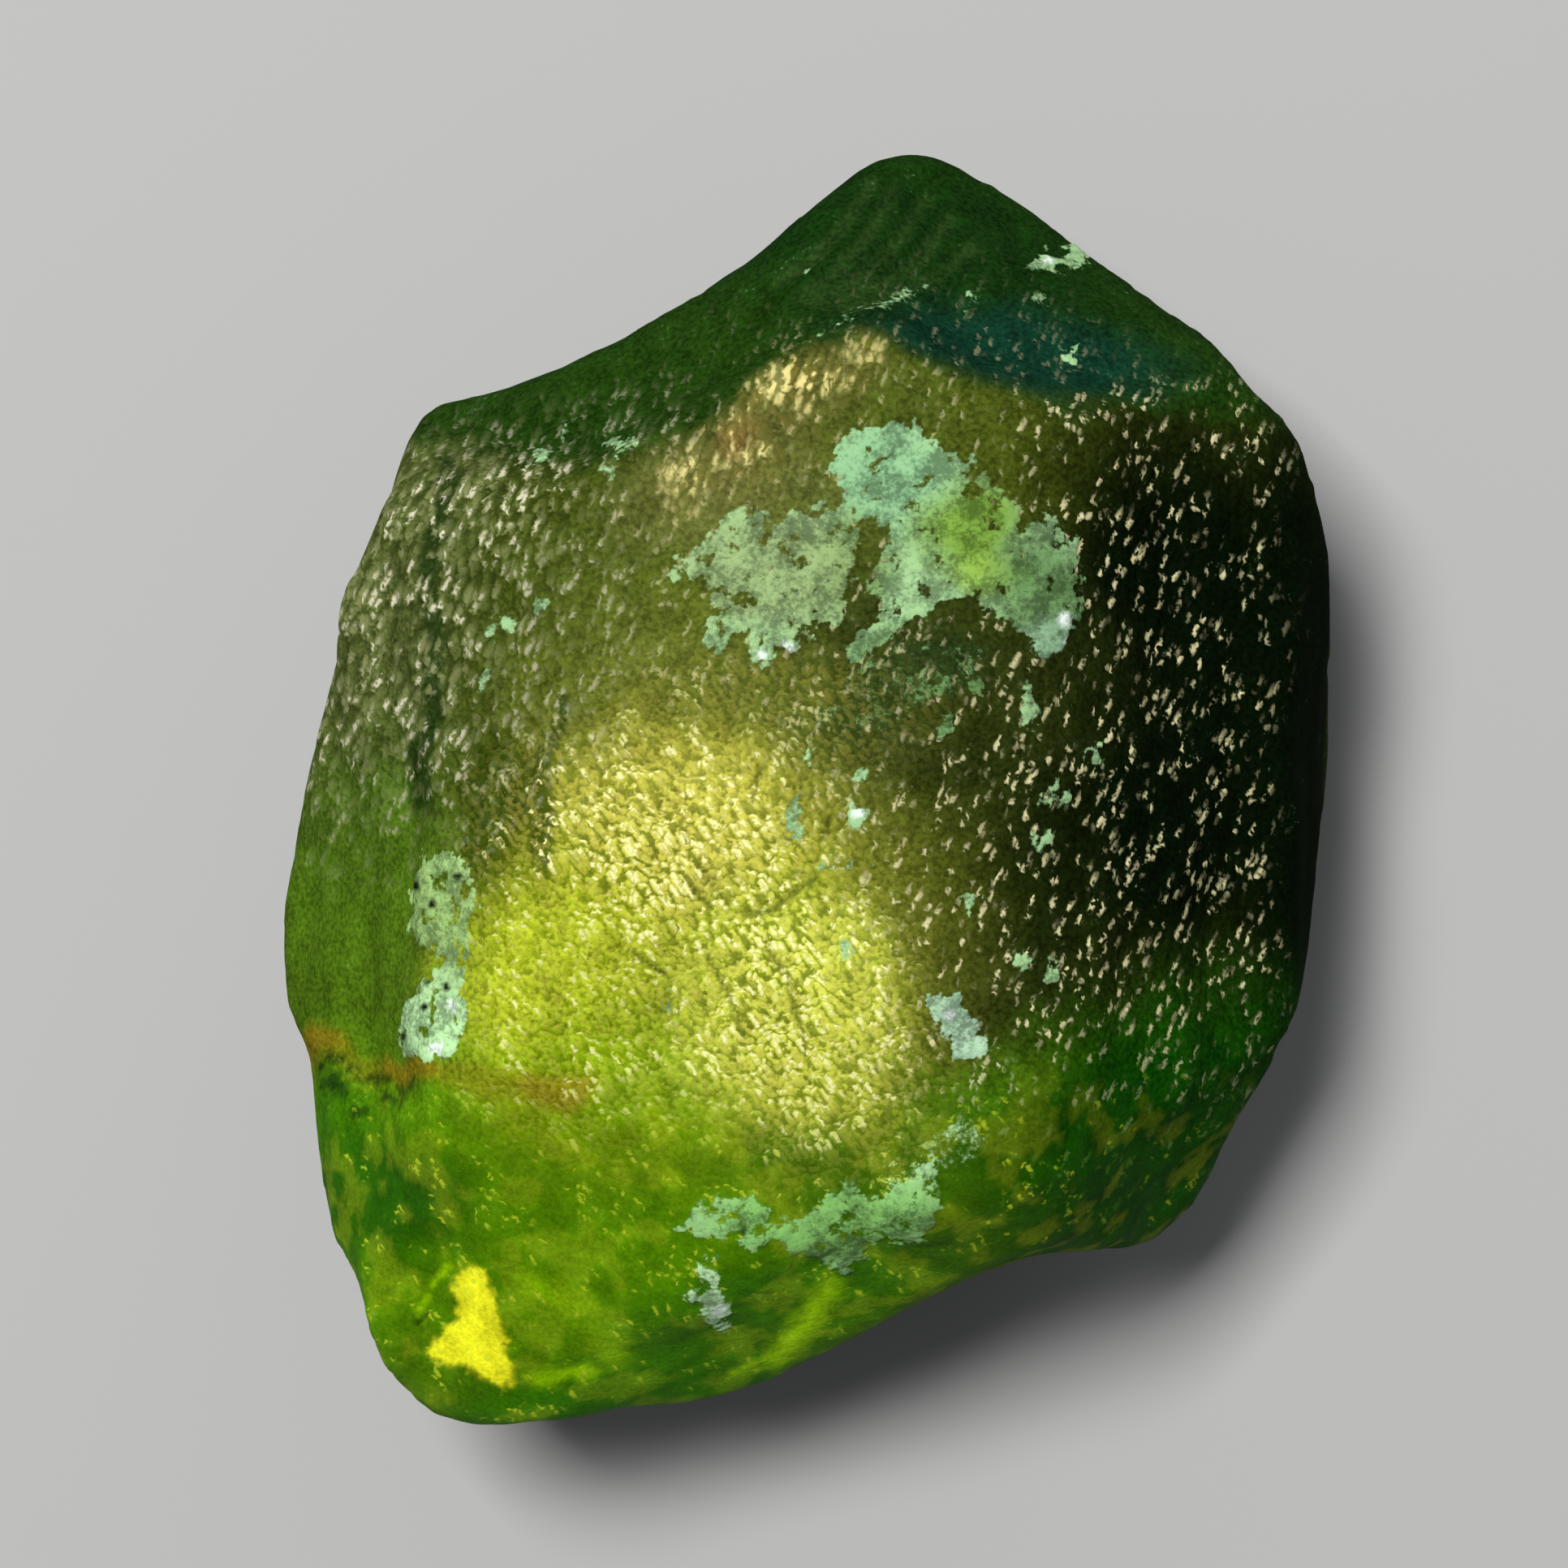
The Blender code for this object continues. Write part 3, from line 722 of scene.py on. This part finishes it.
FROST = 0.89
FROST_LOST_IN_CLEAR = 0.23
FROST_GAINED_ON_STEEP = 0.28
WINDOW_FROST = 0.97
MOST_FROST = 0.96
steep = ease(facing[:, 2], 0.92, 0.5)
frost = FROST - FROST_LOST_IN_CLEAR * clear_share + FROST_GAINED_ON_STEEP * steep
keep("tint", tint)
keep("crust_tint", crust_tint)
keep("crust", crust)
keep("left", np.maximum(left_share, 0.2 * saddle_share) * bare)
keep("right", fleck_share * bare)
keep("glow", np.maximum(wrinkle_share, sprinkle_share * front) * bare * (1 - 0.75 * furrows))
keep("rim", rim_share * (1 - above_rim) * bare)
keep("crest", ease(folds, 0.7, 1.3) * wrinkle_share + ease(upright, 0.5, 0.9) * rim_share)
keep("clear", clear_share)
keep("sparks", clear_share * ease(facing[:, 2], 0.3, 0.65))
keep("frost", np.maximum(frost, WINDOW_FROST * window_share).clip(0, MOST_FROST))
keep("cluster", (0.5 + 0.9 * grain(in_mm, 0.5, 41.0) + 0.45 * grain(in_mm, 0.2, 43.0)).clip(0, 1))
print(len(crystal.data.attributes), "attributes")

# %% [markdown]
# ## Nodes written as sums
#
# A material is a net of nodes, and most of it is arithmetic. One small class lets Python's own
# operators build that arithmetic, so a line of the material reads like the formula that it is.

# %% A socket that takes part in sums, and nodes from one method
class Wire:
    """An output socket that Python's operators work on, each adding the node that does it."""

    def __init__(self, tree, socket):
        self.tree = tree
        self.socket = socket

    def beside(self, name):
        """Another output of the same node."""
        return Wire(self.tree, self.socket.node.outputs[name])

    def math(self, operation, *others):
        return self.tree.node("Math", {"operation": operation}, self, *others)

    def __add__(self, other):
        return self.math("ADD", other)

    __radd__ = __add__

    def __mul__(self, other):
        return self.math("MULTIPLY", other)

    __rmul__ = __mul__

    def __sub__(self, other):
        return self.math("SUBTRACT", other)

    def __rsub__(self, other):
        return self.tree.node("Math", {"operation": "SUBTRACT"}, other, self)


class Tree:
    """The node tree of one material."""

    def __init__(self, name):
        self.material = bpy.data.materials.new(name)
        self.material.use_nodes = True
        self.nodes = self.material.node_tree.nodes
        self.links = self.material.node_tree.links
        self.spot = None
        self.nodes.clear()

    def node(self, kind, settings, *values, output=0, **named):
        """Adds a node: its settings first, then its inputs in order, then its inputs by name."""
        made = self.nodes.new("ShaderNode" + kind)
        for name, value in settings.items():
            setattr(made, name, value)
        for place, value in [*enumerate(values), *named.items()]:
            if value is None:
                continue
            socket = made.inputs[place.replace("_", " ") if isinstance(place, str) else place]
            if isinstance(value, Wire):
                self.links.new(value.socket, socket)
            else:
                socket.default_value = value
        return Wire(self, made.outputs[output]) if made.outputs else None

    def layer(self, name, output=2):
        """A number that the corners carry, or with output 0 a colour."""
        return self.node("Attribute", {"attribute_name": name}, output=output)

    def blend(self, share, first, second):
        """A mix of two colours."""
        unused = [None] * 5
        return self.node("Mix", {"data_type": "RGBA"}, share, *unused, first, second, output=2)

    def step(self, value, start, end):
        """0 at start, 1 at end, softly."""
        return self.node("MapRange", {"interpolation_type": "SMOOTHSTEP"}, value, start, end, 0.0, 1.0)

    def stretched(self, across, along, turn=0.0):
        """The object's own coordinates, counted in grains of the given size in millimetres."""
        if self.spot is None:
            self.spot = self.node("TexCoord", {}, output=3)
        spot = self.spot
        if turn:
            spot = self.node("Mapping", {}, spot, Rotation=(0.0, 0.0, math.radians(turn)))
        sizes = (1 / (across * MM), 1 / (along * MM), 1 / (across * MM))
        return self.node("VectorMath", {"operation": "MULTIPLY"}, spot, sizes)

    def speckle(self, size, detail):
        """Noise of 0 to 1 with grains of the given size."""
        return self.node("TexNoise", {}, self.stretched(size, size), Scale=1.0, Detail=detail)

    def beads(self, across, along, turn, wander):
        """Grains seen from above: the distance to the grain's middle, and two lots of that grain."""
        spot = self.node("VectorMath", {"operation": "ADD"}, self.stretched(across, along, turn), wander)
        near = self.node("TexVoronoi", {"voronoi_dimensions": "2D"}, spot, Scale=1.0)
        lot = self.node("SeparateColor", {}, near.beside("Color"))
        return near, lot, lot.beside("Green")

    def scaled(self, colour, factor):
        """A colour made brighter or darker."""
        return self.node("VectorMath", {"operation": "SCALE"}, colour, Scale=factor)


# %% [markdown]
# ## The peridot's material
#
# Real peridot lets light through, and this stone's skin is etched and so half opaque. The material
# mixes both by one share: a clear body with peridot's own index of refraction, whose depth absorbs
# red and blue, and a frosted skin that carries the colours. Two noises and two patterns of grains do
# all the fine work, because each is worked out again at every bounce of light: an even noise, a tiny
# one for sparkle, upright grains that follow the crystal's axis, and slanting ones for the foil.

# %% The noises and grains, and the skin's own ground
PERIDOT_IOR = 1.67
peridot = Tree("peridot")
even = peridot.speckle(0.09, detail=1.0)
tiny = peridot.speckle(0.04, detail=0.0)
cluster = peridot.layer("cluster")
upright_bend = even + 0.9 * cluster
grain_near, grain_size, grain_shine = peridot.beads(0.145, 0.28, 6.0, upright_bend)
foil_bend = 1.3 * even + 1.7 * cluster
foil_near, foil_size, foil_shine = peridot.beads(0.115, 0.17, 115.0, foil_bend)
left = peridot.layer("left")
right = peridot.layer("right")
glow = peridot.layer("glow")
rim = peridot.layer("rim")
clear = peridot.layer("clear")
crest = peridot.layer("crest")
sparks = peridot.layer("sparks")
crowd = cluster - 0.5
mottle = peridot.step(even, 0.3, 0.7) - 0.5
brightness = 0.65 + 0.32 * cluster + 0.5 * mottle + 0.3 * (tiny - 0.5) - 0.3 * mottle * clear
ground = peridot.scaled(peridot.layer("tint", output=0), brightness)
print("plain ground:", len(peridot.nodes), "nodes")

# %% [markdown]
# ## Grains and painted glints
#
# Each etched grain is painted as a tiny mirror: a dark gap round it as painted shade, a paler side that is
# partly the etch's own frost and partly painted sheen, and a painted glint on the few that would face the
# light. The grain's lots pick its size and its shine, and the cluster layer gathers the bright ones.
# Streaks on the left, flecks on the right, folds on the rim and foil in the middle are the same grains in
# other colours and amounts, laid over the ground one after the other.

# %% Streaks of the left faces, and flecks of the right face, with painted shade and glints
# painted shade in the gaps, partly painted sheen on the sides, painted glints in the hearts of the grains
STREAK_GAP = rgb(38, 48, 16)
STREAK_SIDE = rgb(144, 148, 98)
STREAK_GLINT = rgb(226, 220, 190)
FLECK_AND_GLINT = rgb(232, 224, 170)
FLECK_AND_GLINT_IN_CLEAR = rgb(84, 140, 30)
grain_gap = peridot.step(grain_near, 0.48, 0.72)
grain_wide = peridot.step(grain_near, 0.66, 0.15)
grain_heart = peridot.step(grain_near - 0.1 * grain_size, 0.36, 0.0)
streak_side = grain_wide * peridot.step(grain_size + 0.8 * crowd, 0.1, 0.7)
streak_shine = peridot.step(grain_shine + crowd, 0.40, 1.0)
ground = peridot.blend(0.55 * left * grain_gap, ground, STREAK_GAP)
ground = peridot.blend(0.62 * left * streak_side, ground, STREAK_SIDE)
ground = peridot.blend(0.95 * left * grain_heart * streak_shine, ground, STREAK_GLINT)
# pale pit walls and painted glints of the right face
fleck_and_glint_colour = peridot.blend(clear, FLECK_AND_GLINT, FLECK_AND_GLINT_IN_CLEAR)
fleck_shine = peridot.step(grain_shine + 0.6 * crowd, 0.46, 1.0)
ground = peridot.blend(right * grain_heart * fleck_shine, ground, fleck_and_glint_colour)
print("with streaks and flecks:", len(peridot.nodes), "nodes")

# %% Folds of the stained rim, with painted shade in the folds and painted glints
# the brown of the folds is partly stain and partly painted shade; the glints are painted highlights
RIM_FOLD = rgb(84, 72, 24)
RIM_SIDE = rgb(150, 140, 62)
RIM_GLINT = rgb(250, 234, 152)
rim_fold = peridot.step(crest + 0.3 * grain_size, 0.35, 0.1)
rim_shine = peridot.step(crest + 0.9 * (grain_shine - 0.5) + 0.8 * crowd, 0.28, 0.85)
ground = peridot.blend(0.6 * rim * rim_fold, ground, RIM_FOLD)
ground = peridot.blend(0.5 * rim * grain_wide, ground, RIM_SIDE)
ground = peridot.blend(0.8 * rim * rim_shine * (0.2 + grain_wide), ground, RIM_GLINT)
print("with the rim's folds:", len(peridot.nodes), "nodes")

# %% Foil of the golden middle and sparks deep in the clear part, painted as shade, glow and glints
# painted shade in the creases, painted glow on the sides and painted glints on the bright grains
FOIL_GAP = rgb(88, 100, 14)
FOIL_SIDE = rgb(224, 214, 90)
FOIL_GLINT = rgb(255, 252, 178)
# painted sparks: inclusions that catch the light
DEEP_SPARK = rgb(206, 226, 50)
foil_gap = peridot.step(foil_near, 0.46, 0.70)
foil_side = peridot.step(foil_near, 0.6, 0.2)
foil_heart = peridot.step(foil_near - 0.1 * foil_size, 0.44, 0.04)
foil_level = foil_shine + 0.8 * crowd + 0.4 * (crest - 0.3) + 0.5 * (glow - 1)
foil_bright = peridot.step(glow, 0.0, 0.6) * foil_heart * peridot.step(foil_level, 0.26, 0.66)
spark_bright = foil_heart * peridot.step(foil_shine + 0.8 * crowd, 0.85, 1.1)
ground = peridot.blend(0.75 * glow * foil_gap, ground, FOIL_GAP)
ground = peridot.blend(0.5 * glow * foil_side, ground, FOIL_SIDE)
ground = peridot.blend(foil_bright, ground, FOIL_GLINT)
ground = peridot.blend(0.8 * sparks * spark_bright, ground, DEEP_SPARK)
print("with foil and sparks:", len(peridot.nodes), "nodes")

# %% [markdown]
# ## The crust over the ground
#
# The crust is chalky and dull. The corner layer says where it is dense, and the noises fray it down
# to single grains, so its edge is as ragged as the real film's.

# %% The crust, and the skin with it
BUMP_DEPTH = 0.02 * MM
crust_grain = 0.5 * even + 0.3 * cluster + 0.2 * tiny
crust_bright = 0.55 + 0.9 * peridot.step(crust_grain, 0.33, 0.68)
crust_colour = peridot.scaled(peridot.layer("crust_tint", output=0), crust_bright)
fringe = 0.75 * (even - 0.5) + 0.3 * crowd + 0.3 * (tiny - 0.5)
crust_share = peridot.step(peridot.layer("crust") + fringe, 0.26, 0.66)
skin_colour = peridot.blend(crust_share, ground, crust_colour)
rough = 0.44 - 0.28 * clear - 0.14 * crest
bumps = peridot.node("Bump", {}, Strength=0.5, Distance=BUMP_DEPTH, Height=even)
print("with the crust:", len(peridot.nodes), "nodes")

# %% [markdown]
# ## Clear body, frosted skin
#
# The clear body takes in a hint of the ground, as light does that passes the skin twice. Its depth
# swallows red and blue, which makes thick parts deep green and thin ones yellow-green.

# %% The clear body, the frosted skin, and the two mixed
BODY_GREEN = rgb(200, 232, 60)
DEPTH_GREEN = (0.62, 0.84, 0.08, 1.0)
SOFT_SHINE = (0.25, 0.34, 0.12, 1.0)
CRUST_COVER = 0.94
body_colour = peridot.blend(0.5, ground, BODY_GREEN)
body = peridot.node(
    "BsdfPrincipled", {}, Base_Color=body_colour, Roughness=rough, IOR=PERIDOT_IOR,
    Transmission_Weight=1.0, Specular_IOR_Level=0.15, Specular_Tint=SOFT_SHINE, Normal=bumps,
)
skin = peridot.node(
    "BsdfPrincipled", {}, Base_Color=skin_colour, Roughness=rough + 0.4 * crust_share, IOR=PERIDOT_IOR,
    Specular_IOR_Level=0.0, Normal=bumps,
)
opaque = peridot.node("Math", {"operation": "MAXIMUM"}, peridot.layer("frost"), CRUST_COVER * crust_share)
surface = peridot.node("MixShader", {}, opaque, body, skin)
depth = peridot.node("VolumeAbsorption", {}, Color=DEPTH_GREEN, Density=60.0)
peridot.node("OutputMaterial", {}, surface, depth)
crystal.data.materials.clear()
crystal.data.materials.append(peridot.material)
only(crystal)
bpy.ops.object.shade_smooth()
print("whole material:", len(peridot.nodes), "nodes")

# %% [markdown]
# ## The floor and the light
#
# The stone lies on a plain pale floor, just under its lowest corner. One soft lamp high at the left
# lights the front so that its relief shows, and a weak cool one from behind lifts the tip off its
# own shadow. The sky gives only enough light to see into the shadows.

# %% The floor, the lamps and the sky
FLOOR_DROP = 0.04 * MM
FLOOR_GREY = (0.46, 0.46, 0.45, 1.0)
SKY_GREY = (0.8, 0.82, 0.85, 1.0)
bpy.ops.mesh.primitive_plane_add(size=1.2, location=(0, 0, -FLOOR_DROP))
floor = bpy.context.object
floor.name = "floor"
pale = Tree("pale_floor")
pale.node("OutputMaterial", {}, pale.node("BsdfPrincipled", {}, Base_Color=FLOOR_GREY, Roughness=0.9))
floor.data.materials.append(pale.material)


def soft_light(name, place, size, watts, colour=(1.0, 1.0, 1.0)):
    """A rectangular lamp that points at the middle of the stone."""
    lamp = bpy.data.lights.new(name, "AREA")
    lamp.shape = "RECTANGLE"
    lamp.size, lamp.size_y = size
    lamp.energy = watts
    lamp.color = colour
    holder = bpy.data.objects.new(name, lamp)
    bpy.context.scene.collection.objects.link(holder)
    holder.location = place
    holder.rotation_euler = (Vector((0, 0, GIRDLE)) - Vector(place)).to_track_quat("-Z", "Y").to_euler()


soft_light("key", (-0.07, 0.07, 0.31), (0.08, 0.08), 1.1)
soft_light("back", (0.05, 0.20, 0.05), (0.16, 0.05), 0.08, (0.93, 0.98, 1.0))
world = bpy.data.worlds.new("studio")
bpy.context.scene.world = world
world.use_nodes = True
sky = world.node_tree.nodes["Background"]
sky.inputs["Color"].default_value = SKY_GREY
sky.inputs["Strength"].default_value = 0.15
print("lamps", [lamp.name for lamp in bpy.data.lights])

# %% [markdown]
# ## The camera
#
# It hangs straight over the stone, at the height where the photograph's frame just fits, with a long lens
# as a close-up of so small a thing needs. The plain view keeps colours as given.

# %% The camera
lens = bpy.data.cameras.new("camera")
lens.lens = LENS
lens.sensor_width = SENSOR
lens.clip_start = 1 * MM
camera = bpy.data.objects.new("camera", lens)
bpy.context.scene.collection.objects.link(camera)
camera.location = (camera_axis.x, camera_axis.y, GIRDLE + camera_reach)
bpy.context.scene.camera = camera
bpy.context.scene.view_settings.view_transform = "Standard"
print("camera at", [round(value / MM, 1) for value in camera.location], "mm")

# %% [markdown]
# ## How far light is followed
#
# Most of what leaves this stone comes off its frosted skin, so few bounces are enough: in through
# the skin, off the back, and out again.

# %% How far light is followed
cycles = bpy.context.scene.cycles
cycles.max_bounces = 4
cycles.diffuse_bounces = 1
cycles.glossy_bounces = 2
cycles.transmission_bounces = 3
cycles.volume_bounces = 0
cycles.caustics_reflective = False
print("light is followed over", cycles.max_bounces, "bounces")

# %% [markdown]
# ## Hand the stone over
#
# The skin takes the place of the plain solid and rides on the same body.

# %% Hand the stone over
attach(crystal, "root")
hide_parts("peridot_crystal")
